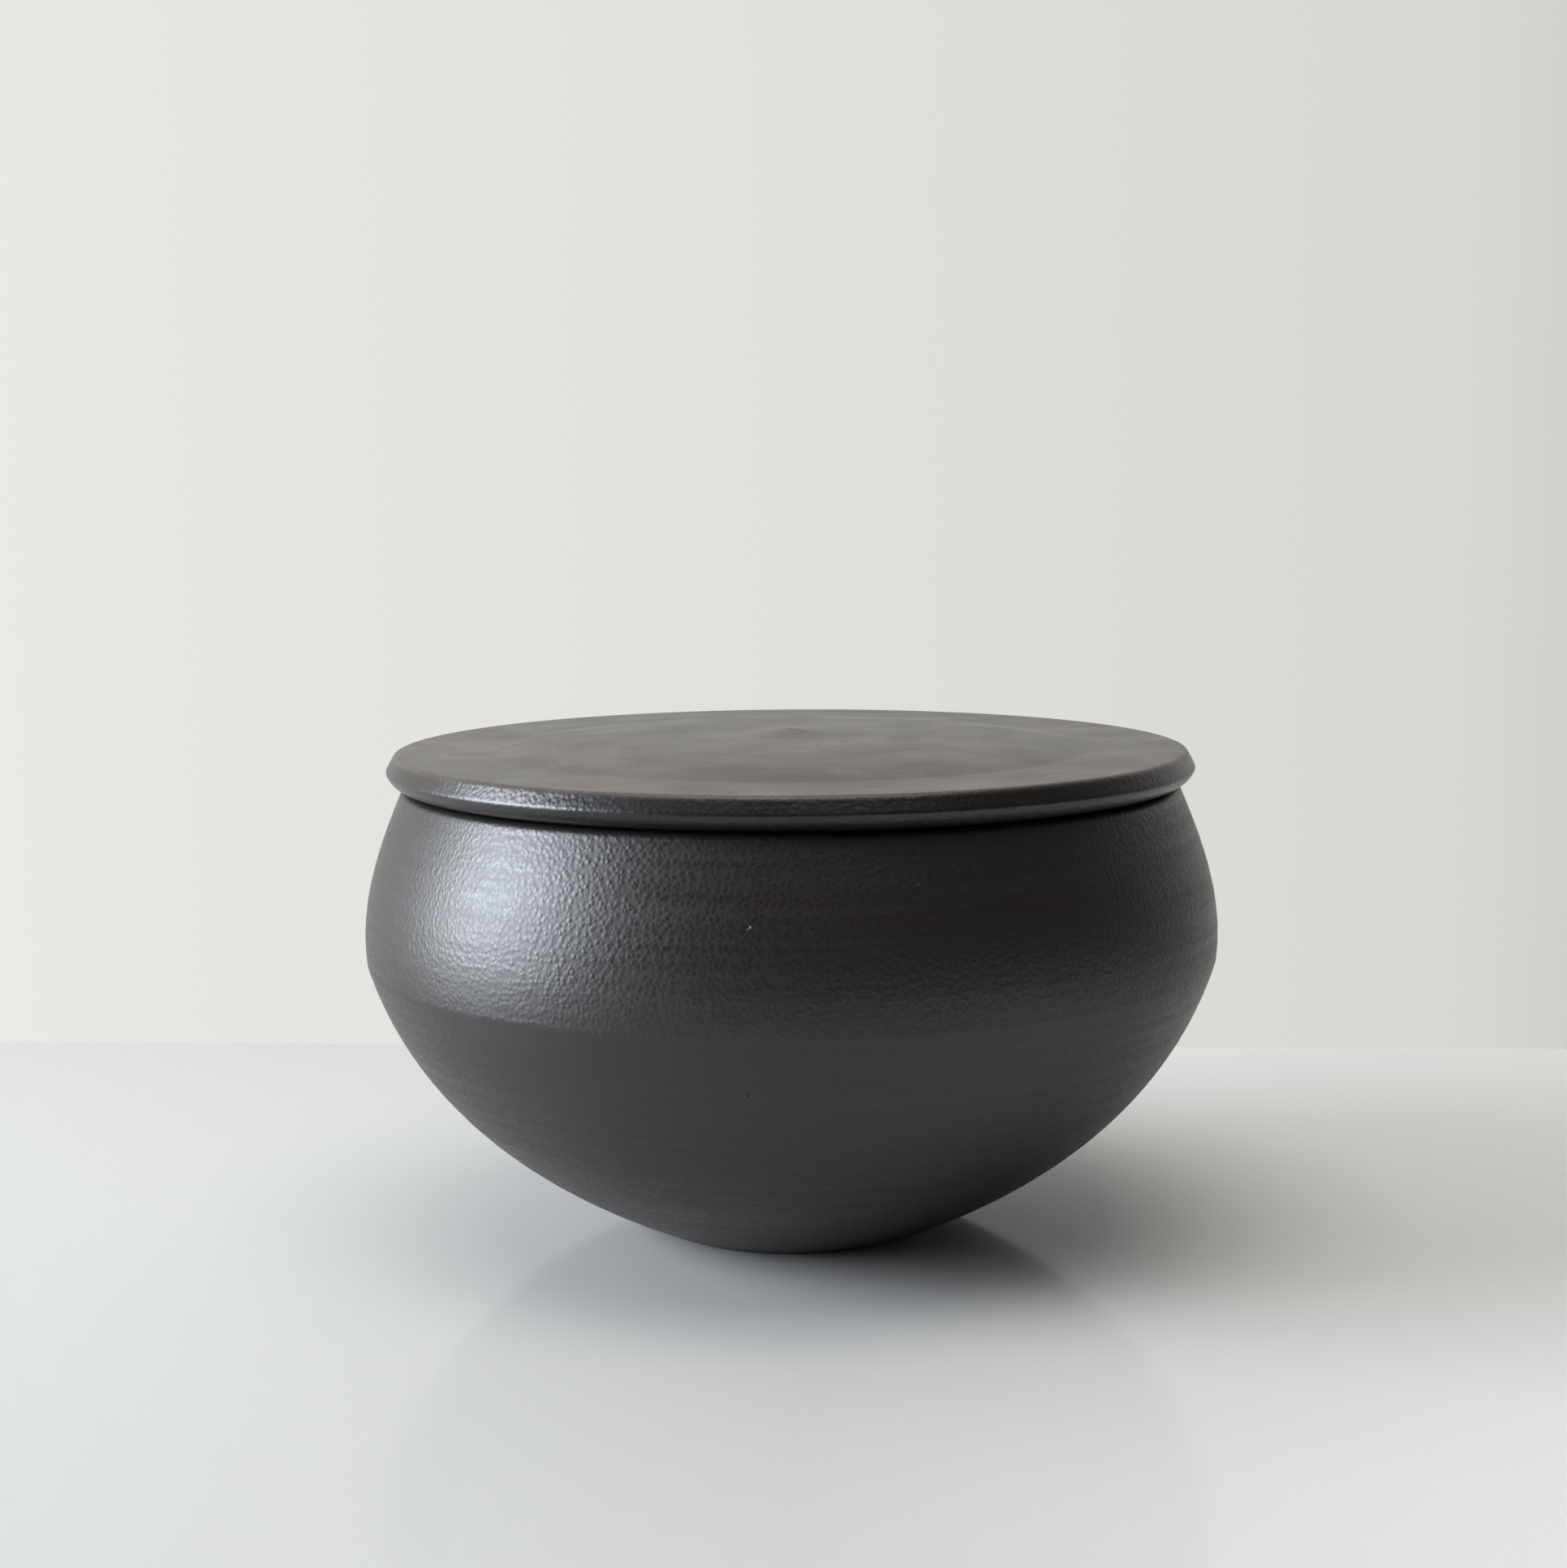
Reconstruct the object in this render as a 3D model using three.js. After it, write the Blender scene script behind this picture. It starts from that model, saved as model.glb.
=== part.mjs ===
// Lidded stoneware jar: a thrown body that swells from a small turned foot to a soft ridge and a
// drawn-in shoulder, with a flat loose lid. The lid rests on the rim and a flange under it sits
// inside the mouth.
// Millimetres, +Z up, origin at the centre of the foot on the table.

import * as THREE from "three";

// Body, outside
const footRadius = 24.8;
const footFlare = 2.4;            // radius gained per millimetre of height at the foot
const ridgeRadius = 77.6;
const ridgeHeight = 50.5;
const flareBelowRidge = 0.31;
const flareAboveRidge = 0.13;
const shoulderRadius = 71.1;
const shoulderHeight = 80.9;
const shoulderFlare = -0.43;
const lowerCurveReach = 0.36;     // length of the curve's handles, as a share of its chord
const upperCurveReach = 0.34;

// Body, rim, inside and foot ring
const lipRise = 1.1;              // rim above the shoulder line
const rimWidth = 6;               // from the shoulder in to the mouth
const lipRound = 2.4;             // how far the outer lip is rounded in
const mouthBand = 4;              // short straight wall that guides the lid
const mouthEase = 0.6;            // softened inner edge of the rim
const wallThickness = 5.5;
const floorHeight = 7.5;          // inside floor above the table
const footRingWidth = 5.5;
const footRecess = 2.2;
const footRecessSlope = 2;        // run of the recess's sloping side

// Lid
const seatGap = 0.3;              // lid to rim
const lidOverhang = 2.5;          // lid edge beyond the shoulder
const lidEdgeThickness = 6;
const lidWidestHeight = 3;        // widest line above the lid's underside
const lidUnderRound = 4.6;        // run of the rounded lower edge
const lidUnderFullness = 0.75;    // share of that run before the edge turns up
const lidTopBevel = 1.6;          // how far the upper edge leans in from the widest line
const lidTopEase = 0.5;           // softened corner between that edge and the top
const domeRadius = 54;
const domeRise = 2.45;
const domeFlatness = 4;           // power of the dome's curve: higher is flatter on top
const peakRadius = 13;
const peakRise = 0.95;
const peakSharpness = 2;          // power of the peak's curve: higher is more pointed
const lidPlate = 5.5;             // thickness of the lid under the dome
const flangeClearance = 0.8;      // flange to mouth, all round
const flangeWidth = 4;
const flangeDepth = 5;
const flangeEase = 0.6;

// Fineness of the faceted surfaces
const turns = 60;
const lowerSteps = 12;
const upperSteps = 9;
const edgeSteps = 4;
const easeSteps = 2;
const domeSteps = 6;
const peakSteps = 4;

// Sizes that follow
const rimHeight = shoulderHeight + lipRise;
const mouthRadius = shoulderRadius - rimWidth;
const seatHeight = rimHeight + seatGap;
const lidRadius = shoulderRadius + lidOverhang;
const lidTop = seatHeight + lidEdgeThickness;
const flangeRadius = mouthRadius - flangeClearance;

const darkGlaze = { color: 0x1d1512, roughness: 0.38, metalness: 0 };
const mattGlaze = { color: 0x3a312b, roughness: 0.62, metalness: 0 };

function point(radius, height) {
  return new THREE.Vector2(radius, height);
}

// A fair curve between two points that leaves and arrives at given flares (radius per height).
function fairCurve(start, startFlare, end, endFlare, reach, steps) {
  const handle = start.distanceTo(end) * reach;
  const leave = point(startFlare, 1).normalize().multiplyScalar(handle);
  const arrive = point(endFlare, 1).normalize().multiplyScalar(handle);
  const first = start.clone().add(leave);
  const second = end.clone().sub(arrive);
  return new THREE.CubicBezierCurve(start, first, second, end).getPoints(steps);
}

function roundedCorner(start, corner, end, steps) {
  return new THREE.QuadraticBezierCurve(start, corner, end).getPoints(steps);
}

// The outside from the foot to the shoulder: one curve up to the ridge and one above it.
function outsideOfBody() {
  const foot = point(footRadius, 0);
  const ridge = point(ridgeRadius, ridgeHeight);
  const shoulder = point(shoulderRadius, shoulderHeight);
  const lower = fairCurve(foot, footFlare, ridge, flareBelowRidge, lowerCurveReach, lowerSteps);
  const upper = fairCurve(ridge, flareAboveRidge, shoulder, shoulderFlare, upperCurveReach, upperSteps);
  return [...lower, ...upper.slice(1)];
}

// The inside follows the outside at the wall's thickness, from the mouth band down to the floor.
function insideOfBody(outside) {
  const wallTop = rimHeight - mouthBand;
  const wall = [];
  for (let i = 1; i < outside.length - 1; i += 1) {
    const along = outside[i + 1].clone().sub(outside[i - 1]).normalize();
    const inward = point(-along.y, along.x).multiplyScalar(wallThickness);
    const place = outside[i].clone().add(inward);
    if (place.y > floorHeight && place.y < wallTop) wall.push(place);
  }
  return wall.reverse();
}

function footUnderside() {
  const ringInner = footRadius - footRingWidth;
  return [
    point(0, footRecess),
    point(ringInner - footRecessSlope, footRecess),
    point(ringInner, 0),
  ];
}

function rimOfBody() {
  const shoulder = point(shoulderRadius, shoulderHeight);
  const corner = point(shoulderRadius + shoulderFlare * lipRise, rimHeight);
  const rimOuter = point(shoulderRadius - lipRound, rimHeight);
  return [
    ...roundedCorner(shoulder, corner, rimOuter, edgeSteps).slice(1),
    point(mouthRadius + mouthEase, rimHeight),
    point(mouthRadius, rimHeight - mouthEase),
    point(mouthRadius, rimHeight - mouthBand),
  ];
}

function bodyProfile() {
  const outside = outsideOfBody();
  return [
    ...footUnderside(),
    ...outside,
    ...rimOfBody(),
    ...insideOfBody(outside),
    point(0, floorHeight),
  ];
}

function domeHeight(radius) {
  return domeRise * (1 - (radius / domeRadius) ** domeFlatness);
}

function peakHeight(radius) {
  return peakRise * (1 - radius / peakRadius) ** peakSharpness;
}

// The top from the dome's foot in to the small peak at its middle.
function lidTopSurface() {
  const dome = [];
  for (let i = 0; i <= domeSteps; i += 1) {
    const radius = domeRadius + (peakRadius - domeRadius) * (i / domeSteps);
    dome.push(point(radius, lidTop + domeHeight(radius)));
  }
  for (let i = 1; i <= peakSteps; i += 1) {
    const radius = peakRadius * (1 - i / peakSteps);
    dome.push(point(radius, lidTop + domeHeight(radius) + peakHeight(radius)));
  }
  return dome;
}

// The underside is hollowed to follow the dome, out to the inside of the flange.
function lidHollow() {
  const hollow = [];
  const underBand = lidTop - lidPlate;
  for (let i = 0; i < domeSteps; i += 1) {
    const radius = domeRadius * (i / domeSteps);
    hollow.push(point(radius, underBand + domeHeight(radius)));
  }
  hollow.push(point(domeRadius, underBand));
  return hollow;
}

function flangeOfLid() {
  const inner = flangeRadius - flangeWidth;
  const bottom = seatHeight - flangeDepth;
  return [
    point(inner, lidTop - lidPlate),
    point(inner, bottom + flangeEase),
    point(inner + flangeEase, bottom),
    point(flangeRadius - flangeEase, bottom),
    point(flangeRadius, bottom + flangeEase),
    point(flangeRadius, seatHeight),
  ];
}

function lidEdge() {
  const widest = point(lidRadius, seatHeight + lidWidestHeight);
  const underStart = point(lidRadius - lidUnderRound, seatHeight);
  const underCorner = point(underStart.x + lidUnderRound * lidUnderFullness, seatHeight);
  const arris = point(lidRadius - lidTopBevel, lidTop);
  const topEnd = point(arris.x - lidTopEase, lidTop);
  const sideEnd = arris.clone().lerp(widest, lidTopEase / arris.distanceTo(widest));
  return [
    ...roundedCorner(underStart, underCorner, widest, edgeSteps),
    ...roundedCorner(sideEnd, arris, topEnd, easeSteps),
  ];
}

function lidProfile() {
  return [
    ...lidHollow(),
    ...flangeOfLid(),
    ...lidEdge(),
    ...lidTopSurface(),
  ];
}

// A profile turned about the jar's upright axis.
function turnedPiece(name, profile, finish) {
  const geometry = new THREE.LatheGeometry(profile, turns);
  geometry.rotateX(Math.PI / 2);
  const mesh = new THREE.Mesh(geometry, new THREE.MeshStandardMaterial(finish));
  mesh.name = name;
  return mesh;
}

const jar = new THREE.Group();
jar.add(turnedPiece("jar_body", bodyProfile(), darkGlaze));
jar.add(turnedPiece("lid", lidProfile(), mattGlaze));

export default jar;
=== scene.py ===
import math
import random

import bpy
import numpy as np
from mathutils import Matrix, Vector


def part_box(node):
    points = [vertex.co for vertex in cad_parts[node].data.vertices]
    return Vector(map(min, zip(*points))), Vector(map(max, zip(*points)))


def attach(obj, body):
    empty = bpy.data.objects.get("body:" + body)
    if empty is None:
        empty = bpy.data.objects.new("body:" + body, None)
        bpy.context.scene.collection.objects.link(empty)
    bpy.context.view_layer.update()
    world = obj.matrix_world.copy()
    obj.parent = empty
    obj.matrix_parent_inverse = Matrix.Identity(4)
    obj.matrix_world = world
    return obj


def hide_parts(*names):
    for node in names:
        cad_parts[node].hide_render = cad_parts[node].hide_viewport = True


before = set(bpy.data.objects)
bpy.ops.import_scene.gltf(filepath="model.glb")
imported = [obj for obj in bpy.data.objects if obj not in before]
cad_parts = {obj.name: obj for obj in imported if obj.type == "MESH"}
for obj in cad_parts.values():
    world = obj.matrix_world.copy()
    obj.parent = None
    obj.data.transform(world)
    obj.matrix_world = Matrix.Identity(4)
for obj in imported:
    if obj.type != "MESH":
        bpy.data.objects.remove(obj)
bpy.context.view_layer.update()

body_low, body_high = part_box("jar_body")
lid_low, lid_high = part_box("lid")

# Units
MM = 0.001

# Body, outside (radius and height in metres, flare is radius gained per height)
RIM_HEIGHT = body_high.z
FOOT_RADIUS = 24.8 * MM
FOOT_FLARE = 2.4
FOOT_EDGE = 0.5 * MM
RIDGE_RADIUS = 77.6 * MM
RIDGE_HEIGHT = 50.5 * MM
FLARE_BELOW_RIDGE = 0.31
FLARE_ABOVE_RIDGE = 0.13
SHOULDER_RADIUS = 71.1 * MM
SHOULDER_HEIGHT = 80.9 * MM
SHOULDER_FLARE = -0.43
LOWER_CURVE_REACH = 0.36
UPPER_CURVE_REACH = 0.34

# Body, rim and inside
RIM_WIDTH = 6 * MM
LIP_ROUND = 2.4 * MM
MOUTH_BAND = 4 * MM
MOUTH_EASE = 0.6 * MM
WALL_THICKNESS = 5.5 * MM
FLOOR_HEIGHT = 7.5 * MM
FOOT_RING_WIDTH = 5.5 * MM
FOOT_RECESS = 2.2 * MM
FOOT_RECESS_SLOPE = 2 * MM
MOUTH_RADIUS = SHOULDER_RADIUS - RIM_WIDTH

# Lid
LID_RADIUS = lid_high.x
LID_PEAK = lid_high.z
DOME_RADIUS = 54 * MM
DOME_RISE = 2.45 * MM
DOME_FLATNESS = 4
PEAK_RADIUS = 13 * MM
PEAK_RISE = 0.95 * MM
LID_EDGE_THICKNESS = 6 * MM
LID_TOP = LID_PEAK - DOME_RISE - PEAK_RISE
SEAT_HEIGHT = LID_TOP - LID_EDGE_THICKNESS
LID_WIDEST = SEAT_HEIGHT + 3 * MM
LID_UNDER_ROUND = 4.6 * MM
LID_UNDER_FULLNESS = 0.75
LID_TOP_BEVEL = 1.6 * MM
LID_TOP_EASE = 0.5 * MM
LID_PLATE = 5.5 * MM
FLANGE_CLEARANCE = 0.8 * MM
FLANGE_RADIUS = MOUTH_RADIUS - FLANGE_CLEARANCE
FLANGE_WIDTH = 4 * MM
FLANGE_BOTTOM = lid_low.z
FLANGE_EASE = 0.6 * MM

# Fineness of the meshes
TURNS = 288
OUTSIDE_STEP = 0.45 * MM
EDGE_STEP = 0.25 * MM
INSIDE_STEP = 0.9 * MM
CURVE_SAMPLES = 400
MERGE_DISTANCE = 1e-6
FOOT_EDGE_SAMPLES = 8         # samples of the outside that the foot's eased edge takes up
OUTSIDE_SOFTENING = 40        # rounds of easing, before the inside is offset from the outside
INSIDE_SOFTENING = 4
RECESS_SOFTENING = 3
FLANGE_SOFTENING = 3
LID_EDGE_SOFTENING = 2
LID_TOP_SOFTENING = 3

# Marks of turning: wavelength and height of each, and how many times it winds round
OUTSIDE_MARKS = (
    (5.6 * MM, 0.022 * MM, 0),
    (3.1 * MM, 0.011 * MM, 1),
    (1.9 * MM, 0.006 * MM, 0),
    (1.35 * MM, 0.003 * MM, 1),
)
LID_MARKS = (
    (9.5 * MM, 0.035 * MM, 0),
    (4.2 * MM, 0.012 * MM, 1),
    (2.3 * MM, 0.005 * MM, 0),
)
INSIDE_MARKS = (
    (8.5 * MM, 0.09 * MM, 1),
    (3.7 * MM, 0.02 * MM, 0),
)
MARK_FADE = 2 * MM            # run over which the marks die out at the ends of a stretch
MARK_SWELL = 0.5              # how much the marks' height comes and goes
MARK_SWELL_WAVES = (5, 9)     # over how many wavelengths
OUT_OF_ROUND = 0.0012
BODY_SEED = 7
LID_SEED = 11

# Camera, fitted to the photo: image centre on the middle of the frame
CAMERA_DISTANCE = 0.48813
CAMERA_HEIGHT = 0.1414
CAMERA_PITCH = 0.1224
CAMERA_YAW = -0.0026
CAMERA_ROLL = 0.0074
FOCAL_PIXELS = 3300
IMAGE_LONG_SIDE = 1932
SENSOR_WIDTH = 36
CLIP_START = 0.01

# Stage
WALL_DISTANCE = 0.145
STAGE_HALF = 6
WALL_SKEW = 0.051
# Painted light and shade on the wall: its tone is brightest at the far left by the window and falls
# off to the right, away from it
WALL_PAINTED_FALLOFF = (
    (-0.60, (1.00, 1.00, 0.98)),
    (-0.16, (0.80, 0.80, 0.77)),
    (0.16, (0.68, 0.675, 0.65)),
    (0.32, (0.34, 0.34, 0.33)),
    (0.70, (0.14, 0.14, 0.14)),
)
# Painted light and shade on the floor: darker at the left and much brighter at the right, standing
# in for a bright window reflected in a glass table top
FLOOR_PAINTED_LIGHT = (
    (-0.20, (0.44, 0.43, 0.41)),
    (0.00, (0.57, 0.56, 0.54)),
    (0.20, (0.97, 0.96, 0.93)),
)
FLOOR_ROUGHNESS = 0.1
FLOOR_SPECULAR = 0.06
WORLD_TONE = (0.10, 0.10, 0.105, 1)

# Lights: place, what they face, size, watts and tone
WINDOW_LIGHT = ((-0.75, -0.12, 0.26), (0, 0, 0.06), (0.5, 0.46), 12.5, (0.84, 0.91, 1.0))
CEILING_LIGHT = ((0, -0.15, 1.45), (0, 0, 0), (1.3, 1.1), 13, (1.0, 0.985, 0.96))

# Glaze tones
IRON_BLACK = (0.0080, 0.0071, 0.0068)
IRON_BROWN = (0.0150, 0.0106, 0.0090)
STREAK_TONE = (0.013, 0.0115, 0.011, 1)
PIT_TONE = (0.004, 0.0035, 0.003, 1)
BARE_CLAY_TONE = (0.075, 0.05, 0.038, 1)
LID_DARK = (0.056, 0.045, 0.038)
LID_MIDDLE = (0.074, 0.060, 0.051)
LID_PALE = (0.098, 0.080, 0.068)
LID_GRAIN_TONE = (0.036, 0.028, 0.023, 1)
LID_SPECK_TONE = (0.16, 0.14, 0.12, 1)
LID_SIDE_TONE = (0.0075, 0.0066, 0.0063, 1)

# Glaze texture: scales are per metre, bump heights in metres
GRAIN_SCALE = 1150
BODY_CLOUDS, BODY_SKIN, BODY_PITS = 26, 520, 150
LID_CLOUDS, LID_SKIN, LID_SPECKS = 85, 380, 210
BODY_PIT_SIZE, LID_SPECK_SIZE = 0.07, 0.06
STREAK_STRETCH = (16, 16, 620)
PIT_CHANCE_FLOOR = 0.86       # a cell holds a pit when its draw lies above this
RIDGE_BLEND = 0.3 * MM
GRAIN_DEPTH = 0.12 * MM
SKIN_DEPTH = 0.10 * MM
STREAK_DEPTH = 0.03 * MM
PIT_DEPTH = 0.25 * MM
LID_GRAIN_DEPTH = 0.10 * MM
ROUGHNESS_BELOW_RIDGE, ROUGHNESS_ABOVE_RIDGE = 0.38, 0.37
LID_SIDE_ROUGHNESS, LID_TOP_ROUGHNESS = 0.32, 0.36
BODY_IOR, LID_IOR = 1.58, 1.55
LID_TOP_START, LID_TOP_FULL = 0.9 * MM, 0.2 * MM   # below the band, where the dry top begins


def point(radius, height):
    return np.array((radius, height), dtype=float)


def bezier(*corners):
    """Fine samples of a Bezier curve through any number of control points."""
    steps = np.linspace(0, 1, CURVE_SAMPLES)[:, None]
    degree = len(corners) - 1
    total = np.zeros((CURVE_SAMPLES, 2))
    for i, corner in enumerate(corners):
        weight = math.comb(degree, i) * steps**i * (1 - steps) ** (degree - i)
        total += weight * corner
    return total


def fair_curve(start, start_flare, end, end_flare, reach):
    """A cubic that leaves and arrives at given flares, as the CAD outline does."""
    handle = np.linalg.norm(end - start) * reach
    leave = point(start_flare, 1) / math.hypot(start_flare, 1) * handle
    arrive = point(end_flare, 1) / math.hypot(end_flare, 1) * handle
    return bezier(start, start + leave, end - arrive, end)


def resample(stretch, step):
    """The same outline with points an equal step apart."""
    lengths = np.r_[0, np.cumsum(np.linalg.norm(np.diff(stretch, axis=0), axis=1))]
    count = max(2, int(round(lengths[-1] / step)) + 1)
    places = np.linspace(0, lengths[-1], count)
    radius = np.interp(places, lengths, stretch[:, 0])
    height = np.interp(places, lengths, stretch[:, 1])
    return np.c_[radius, height]


def join(*stretches):
    """One outline from its stretches, without the doubled points where they meet."""
    whole = np.vstack(stretches)
    keep = np.r_[True, np.linalg.norm(np.diff(whole, axis=0), axis=1) > MERGE_DISTANCE]
    return whole[keep]


def outward_normals(outline):
    along = np.gradient(outline, axis=0)
    along /= np.linalg.norm(along, axis=1)[:, None]
    return np.c_[along[:, 1], -along[:, 0]]


def soften(outline, rounds):
    """Eases the corners inside an outline and keeps its ends."""
    eased = outline.copy()
    for _ in range(rounds):
        eased[1:-1] = (eased[:-2] + 2 * eased[1:-1] + eased[2:]) / 4
    return eased


def outside_of_body():
    ridge = point(RIDGE_RADIUS, RIDGE_HEIGHT)
    shoulder = point(SHOULDER_RADIUS, SHOULDER_HEIGHT)
    foot = point(FOOT_RADIUS, 0)
    lower = fair_curve(foot, FOOT_FLARE, ridge, FLARE_BELOW_RIDGE, LOWER_CURVE_REACH)
    upper = fair_curve(ridge, FLARE_ABOVE_RIDGE, shoulder, SHOULDER_FLARE, UPPER_CURVE_REACH)
    return join(lower, upper)


def body_outline():
    """The body's whole outline with its marks, from the foot's recess round to the inside floor."""
    outside = outside_of_body()
    ring_inner = FOOT_RADIUS - FOOT_RING_WIDTH
    recess = join(
        bezier(point(0, FOOT_RECESS), point(ring_inner - FOOT_RECESS_SLOPE, FOOT_RECESS)),
        bezier(point(ring_inner - FOOT_RECESS_SLOPE, FOOT_RECESS), point(ring_inner, 0)),
    )
    recess = soften(resample(recess, INSIDE_STEP / 2), RECESS_SOFTENING)
    ring = bezier(point(ring_inner, 0), point(FOOT_RADIUS - FOOT_EDGE, 0))
    wall_start = outside[FOOT_EDGE_SAMPLES]
    edge = bezier(point(FOOT_RADIUS - FOOT_EDGE, 0), point(FOOT_RADIUS, 0), wall_start)
    lip_rise = RIM_HEIGHT - SHOULDER_HEIGHT
    corner = point(SHOULDER_RADIUS + SHOULDER_FLARE * lip_rise, RIM_HEIGHT)
    lip = bezier(outside[-1], corner, point(SHOULDER_RADIUS - LIP_ROUND, RIM_HEIGHT))
    rim_inner = point(MOUTH_RADIUS + MOUTH_EASE, RIM_HEIGHT)
    band_top = point(MOUTH_RADIUS, RIM_HEIGHT - MOUTH_EASE)
    rim = join(
        bezier(lip[-1], rim_inner),
        bezier(rim_inner, point(MOUTH_RADIUS, RIM_HEIGHT), band_top),
    )
    smooth_outside = soften(resample(outside, OUTSIDE_STEP), OUTSIDE_SOFTENING)
    wall = smooth_outside - outward_normals(smooth_outside) * WALL_THICKNESS
    between = (wall[:, 1] > FLOOR_HEIGHT) & (wall[:, 1] < RIM_HEIGHT - MOUTH_BAND)
    inside_wall = wall[between][::-1]
    inside = join(
        [band_top, point(MOUTH_RADIUS, RIM_HEIGHT - MOUTH_BAND)],
        inside_wall,
        [point(0, FLOOR_HEIGHT)],
    )
    inside = soften(resample(inside, INSIDE_STEP), INSIDE_SOFTENING)
    return [
        (recess, None),
        (resample(ring, INSIDE_STEP), None),
        (resample(edge, EDGE_STEP), None),
        (resample(outside[FOOT_EDGE_SAMPLES:], OUTSIDE_STEP), OUTSIDE_MARKS),
        (resample(lip, EDGE_STEP), None),
        (resample(rim, EDGE_STEP), None),
        (inside, INSIDE_MARKS),
    ]


def dome_height(radius):
    return DOME_RISE * (1 - (radius / DOME_RADIUS) ** DOME_FLATNESS)


def peak_height(radius):
    """A soft rise in the middle, rounded at its very top."""
    share = np.clip(1 - radius / PEAK_RADIUS, 0, 1)
    return PEAK_RISE * share**2 * (3 - share) / 2


def lid_outline():
    """The lid's whole outline with its marks, from the hollow under it round to the peak."""
    hollow_radius = np.linspace(0, DOME_RADIUS, CURVE_SAMPLES)
    hollow = np.c_[hollow_radius, LID_TOP - LID_PLATE + dome_height(hollow_radius)]
    flange_inner = FLANGE_RADIUS - FLANGE_WIDTH
    flange = join(
        [point(DOME_RADIUS, LID_TOP - LID_PLATE), point(flange_inner, LID_TOP - LID_PLATE)],
        [point(flange_inner, FLANGE_BOTTOM + FLANGE_EASE)],
        [point(flange_inner + FLANGE_EASE, FLANGE_BOTTOM)],
        [point(FLANGE_RADIUS - FLANGE_EASE, FLANGE_BOTTOM)],
        [point(FLANGE_RADIUS, FLANGE_BOTTOM + FLANGE_EASE)],
        [point(FLANGE_RADIUS, SEAT_HEIGHT), point(LID_RADIUS - LID_UNDER_ROUND, SEAT_HEIGHT)],
    )
    widest = point(LID_RADIUS, LID_WIDEST)
    under = bezier(
        point(LID_RADIUS - LID_UNDER_ROUND, SEAT_HEIGHT),
        point(LID_RADIUS - LID_UNDER_ROUND * (1 - LID_UNDER_FULLNESS), SEAT_HEIGHT),
        widest,
    )
    arris = point(LID_RADIUS - LID_TOP_BEVEL, LID_TOP)
    side_end = arris + (widest - arris) * LID_TOP_EASE / np.linalg.norm(widest - arris)
    top_end = arris - point(LID_TOP_EASE, 0)
    over = join(bezier(widest, side_end), bezier(side_end, arris, top_end))
    edge = soften(resample(join(under, over), EDGE_STEP), LID_EDGE_SOFTENING)
    band = bezier(top_end, point(DOME_RADIUS, LID_TOP))
    dome_radius = np.linspace(DOME_RADIUS, 0, CURVE_SAMPLES)
    dome = np.c_[dome_radius, LID_TOP + dome_height(dome_radius) + peak_height(dome_radius)]
    top = soften(resample(join(band, dome), OUTSIDE_STEP), LID_TOP_SOFTENING)
    return [
        (resample(hollow, INSIDE_STEP), INSIDE_MARKS),
        (soften(resample(flange, EDGE_STEP), FLANGE_SOFTENING), None),
        (edge, None),
        (top, LID_MARKS),
    ]


def mark_depth(length, angles, marks, draw):
    """How deep the marks cut below the outline, never above it."""
    depth = np.zeros((len(length), len(angles)))
    for wavelength, height, winds in marks:
        phase = draw.uniform(0, 2 * math.pi)
        swell_length = wavelength * draw.uniform(*MARK_SWELL_WAVES)
        slow = 1 + MARK_SWELL * np.sin(length / swell_length + phase)
        wave = 1 + np.sin(
            2 * math.pi * length[:, None] / wavelength + phase - winds * angles[None, :]
        )
        depth += height * slow[:, None] * wave / 2
    return depth


def turned_mesh(name, stretches, seed):
    """A closed mesh turned about the upright axis from an outline that starts and ends on it."""
    draw = random.Random(seed)
    angles = np.arange(TURNS) * 2 * math.pi / TURNS
    outline = np.vstack([stretch for stretch, _ in stretches])
    depths = []
    for stretch, marks in stretches:
        length = np.r_[0, np.cumsum(np.linalg.norm(np.diff(stretch, axis=0), axis=1))]
        fade = np.clip(np.minimum(length, length[-1] - length) / MARK_FADE, 0, 1)
        depths.append(mark_depth(length, angles, marks or (), draw) * fade[:, None])
    depth = np.vstack(depths)
    keep = np.r_[True, np.linalg.norm(np.diff(outline, axis=0), axis=1) > MERGE_DISTANCE]
    outline, depth = outline[keep], depth[keep]
    normals = outward_normals(outline)
    round_loss = 1 - OUT_OF_ROUND * (1 + np.sin(2 * angles + draw.uniform(0, 6))) / 2
    radius = (outline[:, 0, None] - normals[:, 0, None] * depth) * round_loss[None, :]
    height = outline[:, 1, None] - normals[:, 1, None] * depth
    radius = radius[1:-1]
    height = height[1:-1]
    rings = np.stack(
        [radius * np.cos(angles), radius * np.sin(angles), height], axis=-1
    ).reshape(-1, 3)
    first = (0, 0, outline[0, 1])
    last = (0, 0, outline[-1, 1])
    vertices = np.vstack([[first], rings, [last]])
    return mesh_of_rings(name, vertices, len(outline) - 2)


def mesh_of_rings(name, vertices, ring_count):
    turn = np.arange(TURNS)
    after = (turn + 1) % TURNS
    starts = 1 + np.arange(ring_count - 1)[:, None] * TURNS
    quads = np.stack(
        [starts + turn, starts + after, starts + TURNS + after, starts + TURNS + turn], axis=-1
    ).reshape(-1, 4)
    end_ring = 1 + (ring_count - 1) * TURNS
    last = len(vertices) - 1
    caps = [(0, 1 + b, 1 + a) for a, b in zip(turn.tolist(), after.tolist())]
    caps += [(end_ring + a, end_ring + b, last) for a, b in zip(turn.tolist(), after.tolist())]
    mesh = bpy.data.meshes.new(name)
    mesh.from_pydata(vertices.tolist(), [], quads.tolist() + caps)
    mesh.polygons.foreach_set("use_smooth", [True] * len(mesh.polygons))
    mesh.update()
    return mesh


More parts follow.
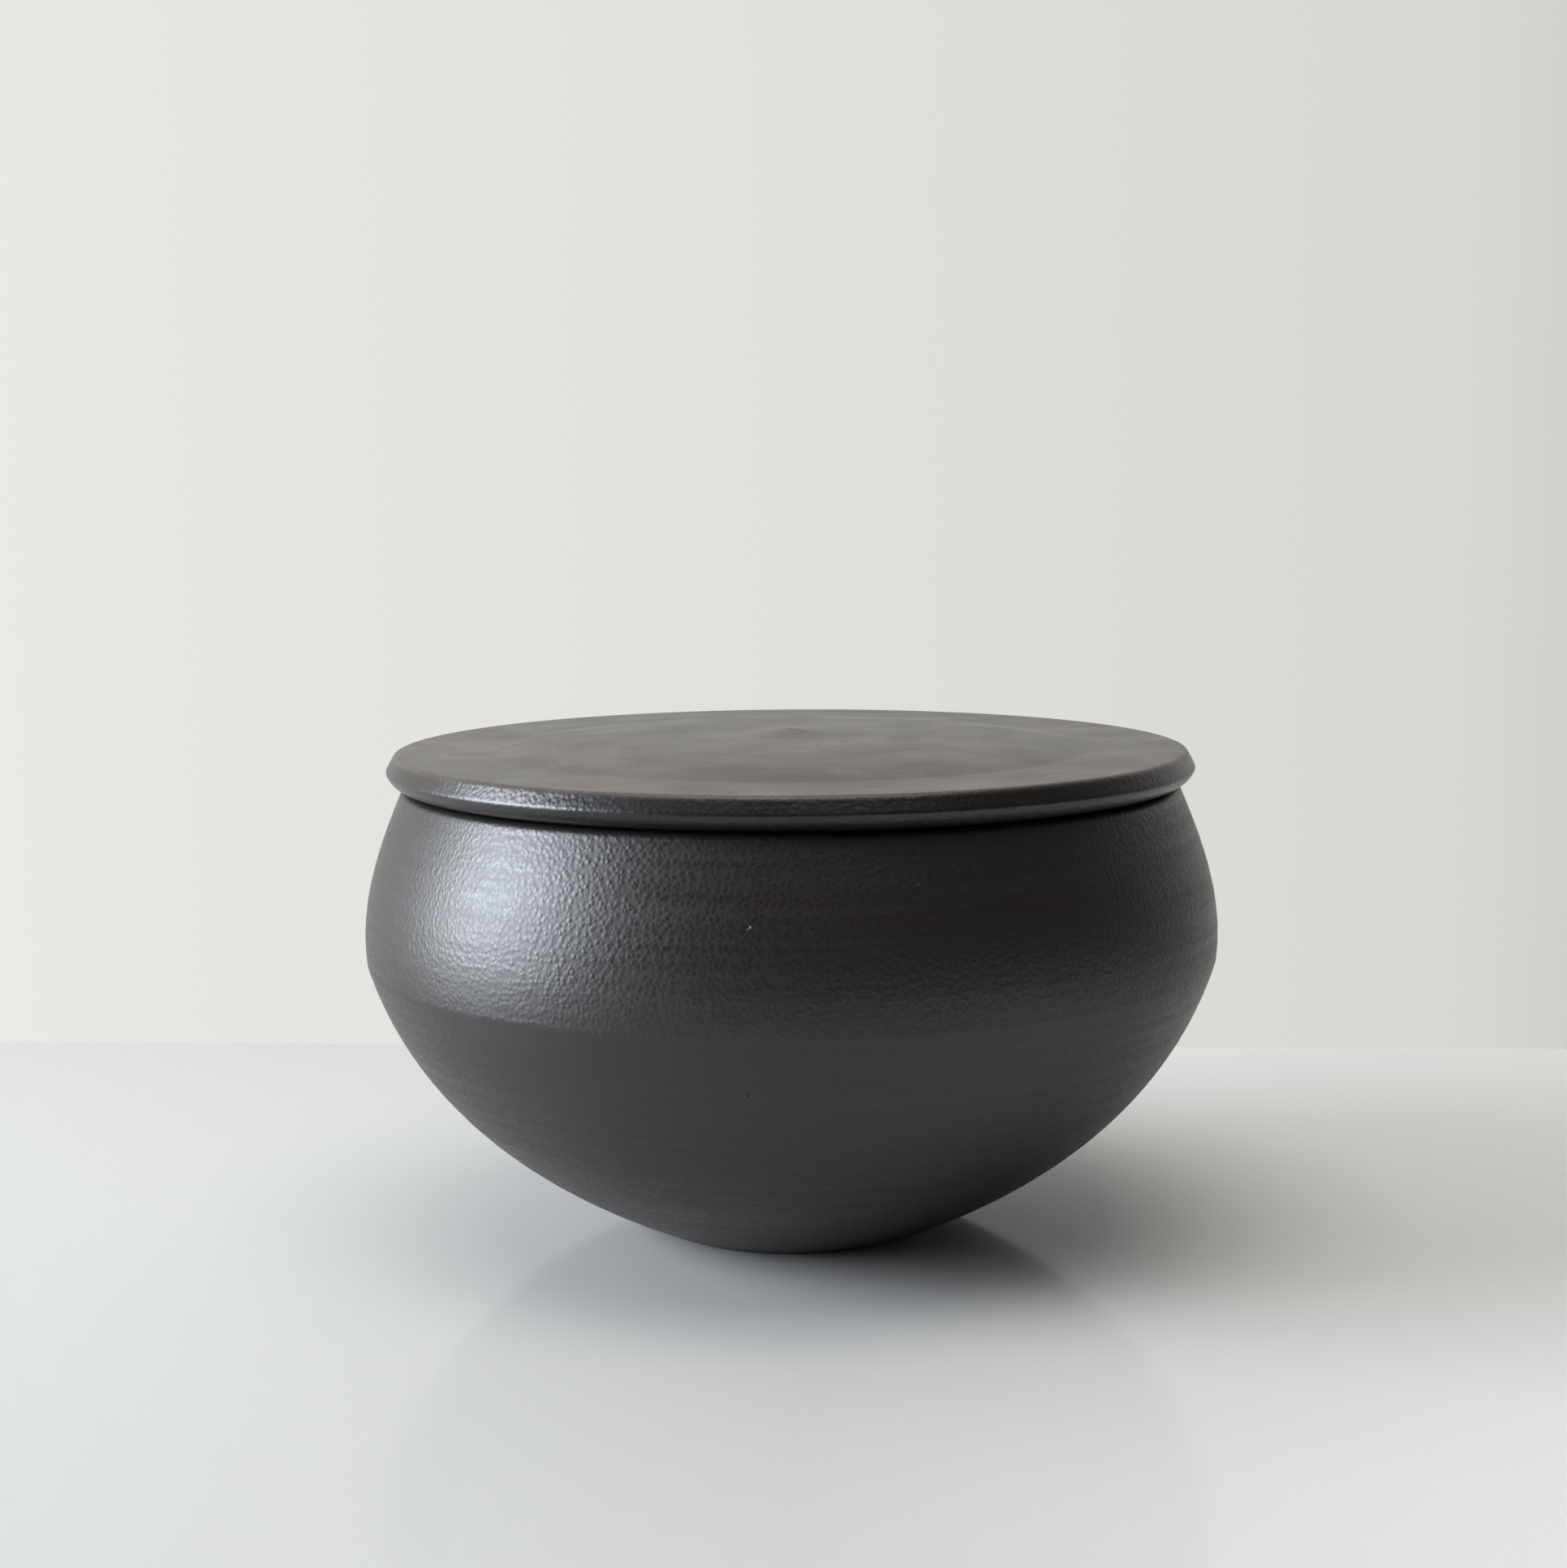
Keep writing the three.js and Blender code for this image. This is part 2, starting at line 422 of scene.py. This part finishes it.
def new_piece(name, mesh, material):
    piece = bpy.data.objects.new(name, mesh)
    mesh.materials.append(material)
    bpy.context.scene.collection.objects.link(piece)
    return piece


# Materials

def new_material(name):
    material = bpy.data.materials.new(name)
    material.use_nodes = True
    material.node_tree.nodes.clear()
    return material, material.node_tree


def add_node(tree, kind, inputs=None, **settings):
    """A node with its settings; an input takes a value or another node's output."""
    made = tree.nodes.new(kind)
    for key, value in settings.items():
        setattr(made, key, value)
    for key, value in (inputs or {}).items():
        if isinstance(value, bpy.types.NodeSocket):
            tree.links.new(value, made.inputs[key])
        else:
            made.inputs[key].default_value = value
    return made


def noise(tree, place, scale, detail=2.0, stretch=(1, 1, 1)):
    mapped = add_node(tree, "ShaderNodeMapping", {"Vector": place, "Scale": stretch})
    made = add_node(
        tree, "ShaderNodeTexNoise", {"Vector": mapped.outputs[0], "Scale": scale, "Detail": detail}
    )
    return made.outputs[0]


def spread(tree, value, low, high, to_low, to_high):
    made = add_node(
        tree,
        "ShaderNodeMapRange",
        {"Value": value, "From Min": low, "From Max": high, "To Min": to_low, "To Max": to_high},
    )
    return made.outputs[0]


def calculate(tree, operation, first, second):
    return add_node(tree, "ShaderNodeMath", {0: first, 1: second}, operation=operation).outputs[0]


def colour_ramp(tree, value, *stops):
    made = add_node(tree, "ShaderNodeValToRGB", {"Fac": value})
    elements = made.color_ramp.elements
    while len(elements) < len(stops):
        elements.new(0.5)
    for element, (place, tone) in zip(elements, stops):
        element.position = place
        element.color = (*tone, 1)
    return made.outputs[0]


def mix_colours(tree, share, first, second):
    made = add_node(tree, "ShaderNodeMix", data_type="RGBA")
    for index, value in ((0, share), (6, first), (7, second)):
        if isinstance(value, bpy.types.NodeSocket):
            tree.links.new(value, made.inputs[index])
        else:
            made.inputs[index].default_value = value
    return made.outputs[2]


def bump(tree, height, strength, distance, normal=None):
    inputs = {"Height": height, "Strength": strength, "Distance": distance}
    if normal is not None:
        inputs["Normal"] = normal
    return add_node(tree, "ShaderNodeBump", inputs).outputs[0]


def finish_surface(tree, colour, roughness, normal, ior):
    shader = add_node(
        tree,
        "ShaderNodeBsdfPrincipled",
        {"Base Color": colour, "Roughness": roughness, "Normal": normal, "IOR": ior},
    )
    add_node(tree, "ShaderNodeOutputMaterial", {"Surface": shader.outputs[0]})
    return shader


def granules(tree, place, scale):
    """Small rounded grains of uneven height."""
    cells = add_node(tree, "ShaderNodeTexVoronoi", {"Vector": place, "Scale": scale})
    rounded = spread(tree, cells.outputs["Distance"], 0, 0.8, 1, 0)
    uneven = noise(tree, place, scale * 0.7, 2)
    return calculate(tree, "MULTIPLY", rounded, uneven)


def sparse_pits(tree, place, scale, size):
    """One where a small pit lies, nought between the pits."""
    cells = add_node(tree, "ShaderNodeTexVoronoi", {"Vector": place, "Scale": scale})
    chance = add_node(tree, "ShaderNodeSeparateColor", {"Color": cells.outputs["Color"]})
    chosen = calculate(tree, "GREATER_THAN", chance.outputs[0], PIT_CHANCE_FLOOR)
    round_pit = spread(tree, cells.outputs["Distance"], size, size * 0.4, 0, 1)
    return calculate(tree, "MULTIPLY", round_pit, chosen)


def bare_foot_mask(tree, place):
    """One on the unglazed foot, which is all that lies low and inside the foot's edge."""
    parts = add_node(tree, "ShaderNodeSeparateXYZ", {"Vector": place})
    flat = add_node(tree, "ShaderNodeCombineXYZ", {"X": parts.outputs[0], "Y": parts.outputs[1]})
    radius = add_node(tree, "ShaderNodeVectorMath", {0: flat.outputs[0]}, operation="LENGTH")
    near = calculate(tree, "LESS_THAN", radius.outputs["Value"], FOOT_RADIUS)
    low = calculate(tree, "LESS_THAN", parts.outputs[2], FOOT_RECESS + MM)
    return calculate(tree, "MULTIPLY", near, low), parts.outputs[2]


def jar_glaze():
    """Dark iron glaze: grainy and lustrous above the ridge, smoother satin below it."""
    material, tree = new_material("jar_glaze_surface")
    place = add_node(tree, "ShaderNodeTexCoord").outputs["Object"]
    bare, height = bare_foot_mask(tree, place)
    above = spread(tree, height, RIDGE_HEIGHT - RIDGE_BLEND, RIDGE_HEIGHT + RIDGE_BLEND, 0, 1)
    clouds = noise(tree, place, BODY_CLOUDS, 5)
    streaks = noise(tree, place, 1, 4, STREAK_STRETCH)
    grain = granules(tree, place, GRAIN_SCALE)
    skin = noise(tree, place, BODY_SKIN, 3)
    pits = sparse_pits(tree, place, BODY_PITS, BODY_PIT_SIZE)
    tone = colour_ramp(tree, clouds, (0.0, IRON_BLACK), (0.4, IRON_BROWN))
    tone = mix_colours(tree, spread(tree, streaks, 0.42, 0.7, 0, 0.5), tone, STREAK_TONE)
    tone = mix_colours(tree, pits, tone, PIT_TONE)
    tone = mix_colours(tree, bare, tone, BARE_CLAY_TONE)
    gloss = calculate(
        tree,
        "ADD",
        spread(tree, streaks, 0.3, 0.7, -0.04, 0.05),
        spread(tree, above, 0, 1, ROUGHNESS_BELOW_RIDGE, ROUGHNESS_ABOVE_RIDGE),
    )
    gloss = calculate(tree, "ADD", gloss, spread(tree, grain, 0.1, 0.5, 0.06, -0.06))
    gloss = calculate(tree, "ADD", gloss, spread(tree, bare, 0, 1, 0, 0.45))
    normal = bump(tree, skin, 0.14, SKIN_DEPTH)
    normal = bump(tree, grain, spread(tree, above, 0, 1, 0.3, 0.9), GRAIN_DEPTH, normal)
    normal = bump(tree, streaks, 0.5, STREAK_DEPTH, normal)
    normal = bump(tree, pits, 0.9, -PIT_DEPTH, normal)
    finish_surface(tree, tone, gloss, normal, BODY_IOR)
    return material


def lid_glaze():
    """The same clay with a matt, drier top, painted paler in part as the wall's reflection, and a
    glossier edge.
    """
    material, tree = new_material("lid_glaze_surface")
    place = add_node(tree, "ShaderNodeTexCoord").outputs["Object"]
    parts = add_node(tree, "ShaderNodeSeparateXYZ", {"Vector": place})
    height = parts.outputs[2]
    top = spread(tree, height, LID_TOP - LID_TOP_START, LID_TOP - LID_TOP_FULL, 0, 1)
    clouds = noise(tree, place, LID_CLOUDS, 9)
    grain = granules(tree, place, GRAIN_SCALE)
    skin = noise(tree, place, LID_SKIN, 3)
    specks = sparse_pits(tree, place, LID_SPECKS, LID_SPECK_SIZE)
    # Painted reflection: the top's pale brown is partly its own mottled glaze and partly a painted
    # reflection of the wall at a grazing angle
    dry_top_and_painted_reflection = colour_ramp(tree, clouds, (0.30, LID_DARK), (0.5, LID_MIDDLE), (0.70, LID_PALE))
    dry_top_and_painted_reflection = mix_colours(tree, spread(tree, grain, 0.1, 0.5, 0.5, 0), dry_top_and_painted_reflection, LID_GRAIN_TONE)
    dry_top_and_painted_reflection = mix_colours(tree, specks, dry_top_and_painted_reflection, LID_SPECK_TONE)
    tone = mix_colours(tree, top, LID_SIDE_TONE, dry_top_and_painted_reflection)
    gloss = calculate(
        tree,
        "ADD",
        spread(tree, top, 0, 1, LID_SIDE_ROUGHNESS, LID_TOP_ROUGHNESS),
        spread(tree, clouds, 0.35, 0.65, 0.03, -0.03),
    )
    normal = bump(tree, skin, 0.4, SKIN_DEPTH)
    normal = bump(tree, grain, 0.8, LID_GRAIN_DEPTH, normal)
    finish_surface(tree, tone, gloss, normal, LID_IOR)
    return material


def painted_light_across(tree, tones):
    """Painted light and shade: tones that change with distance from the window, along X."""
    place = add_node(tree, "ShaderNodeTexCoord").outputs["Object"]
    parts = add_node(tree, "ShaderNodeSeparateXYZ", {"Vector": place})
    first, last = tones[0][0], tones[-1][0]
    across = spread(tree, parts.outputs[0], first, last, 0, 1)
    return colour_ramp(tree, across, *[((x - first) / (last - first), tone) for x, tone in tones])


def wall_material():
    """A pale wall that glows with its tone, painted window light and shade, for camera, glossy and
    transmission rays, is lit as diffuse for other rays, and lets a camera behind it look through.
    """
    material, tree = new_material("wall")
    tone = painted_light_across(tree, WALL_PAINTED_FALLOFF)
    path = add_node(tree, "ShaderNodeLightPath")
    seen = calculate(tree, "MAXIMUM", path.outputs["Is Camera Ray"], path.outputs["Is Glossy Ray"])
    seen = calculate(tree, "MAXIMUM", seen, path.outputs["Is Transmission Ray"])
    lit = add_node(tree, "ShaderNodeBsdfDiffuse", {"Color": tone})
    painted_glow = add_node(tree, "ShaderNodeEmission", {"Color": tone, "Strength": 1.0})
    front = add_node(
        tree, "ShaderNodeMixShader", {0: seen, 1: lit.outputs[0], 2: painted_glow.outputs[0]}
    )
    behind = add_node(tree, "ShaderNodeNewGeometry").outputs["Backfacing"]
    clear = add_node(tree, "ShaderNodeBsdfTransparent")
    both = add_node(
        tree, "ShaderNodeMixShader", {0: behind, 1: front.outputs[0], 2: clear.outputs[0]}
    )
    add_node(tree, "ShaderNodeOutputMaterial", {"Surface": both.outputs[0]})
    return material


def floor_material():
    material, tree = new_material("floor")
    shader = add_node(
        tree,
        "ShaderNodeBsdfPrincipled",
        {
            "Base Color": painted_light_across(tree, FLOOR_PAINTED_LIGHT),
            "Roughness": FLOOR_ROUGHNESS,
            "Specular IOR Level": FLOOR_SPECULAR,
        },
    )
    add_node(tree, "ShaderNodeOutputMaterial", {"Surface": shader.outputs[0]})
    return material


# Stage, camera and light

def staged_plane(name, corners, material):
    mesh = bpy.data.meshes.new(name)
    mesh.from_pydata(corners, [], [(0, 1, 2, 3)])
    new_piece(name, mesh, material)


def make_stage():
    half, back = STAGE_HALF, WALL_DISTANCE
    floor_corners = [(-half, -half, 0), (half, -half, 0), (half, half, 0), (-half, half, 0)]
    left, right = back + half * WALL_SKEW, back - half * WALL_SKEW
    wall_corners = [(-half, left, 0), (half, right, 0), (half, right, half), (-half, left, half)]
    staged_plane("floor", floor_corners, floor_material())
    staged_plane("wall", wall_corners, wall_material())


def make_camera():
    ahead = Vector((math.sin(CAMERA_YAW), math.cos(CAMERA_YAW), 0))
    right = Vector((math.cos(CAMERA_YAW), -math.sin(CAMERA_YAW), 0))
    forward = ahead * math.cos(CAMERA_PITCH) + Vector((0, 0, -1)) * math.sin(CAMERA_PITCH)
    up = right.cross(forward)
    across = right * math.cos(CAMERA_ROLL) - up * math.sin(CAMERA_ROLL)
    upward = right * math.sin(CAMERA_ROLL) + up * math.cos(CAMERA_ROLL)
    data = bpy.data.cameras.new("camera")
    data.sensor_width = SENSOR_WIDTH
    data.lens = FOCAL_PIXELS * SENSOR_WIDTH / IMAGE_LONG_SIDE
    data.clip_start = CLIP_START
    camera = bpy.data.objects.new("camera", data)
    turn = Matrix((across, upward, -forward)).transposed().to_4x4()
    camera.matrix_world = Matrix.Translation((0, -CAMERA_DISTANCE, CAMERA_HEIGHT)) @ turn
    bpy.context.scene.collection.objects.link(camera)
    bpy.context.scene.camera = camera


def area_light(name, place, target, size, watts, tone):
    data = bpy.data.lights.new(name, "AREA")
    data.shape = "RECTANGLE"
    data.size, data.size_y = size
    data.energy = watts
    data.color = tone
    light = bpy.data.objects.new(name, data)
    light.location = place
    light.rotation_euler = (Vector(target) - Vector(place)).to_track_quat("-Z", "Y").to_euler()
    bpy.context.scene.collection.objects.link(light)


def make_light():
    area_light("window", *WINDOW_LIGHT)
    area_light("ceiling", *CEILING_LIGHT)
    world = bpy.data.worlds.new("room")
    world.use_nodes = True
    background = world.node_tree.nodes["Background"]
    background.inputs["Color"].default_value = WORLD_TONE
    bpy.context.scene.world = world


def make_jar():
    body = new_piece("jar_shell", turned_mesh("jar_shell", body_outline(), BODY_SEED), jar_glaze())
    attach(body, "jar")
    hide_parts("jar_body")
    lid = new_piece("jar_lid", turned_mesh("jar_lid", lid_outline(), LID_SEED), lid_glaze())
    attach(lid, "lid")
    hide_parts("lid")


bpy.context.scene.view_settings.view_transform = "Standard"
make_camera()
make_stage()
make_light()
make_jar()
bpy.context.view_layer.update()
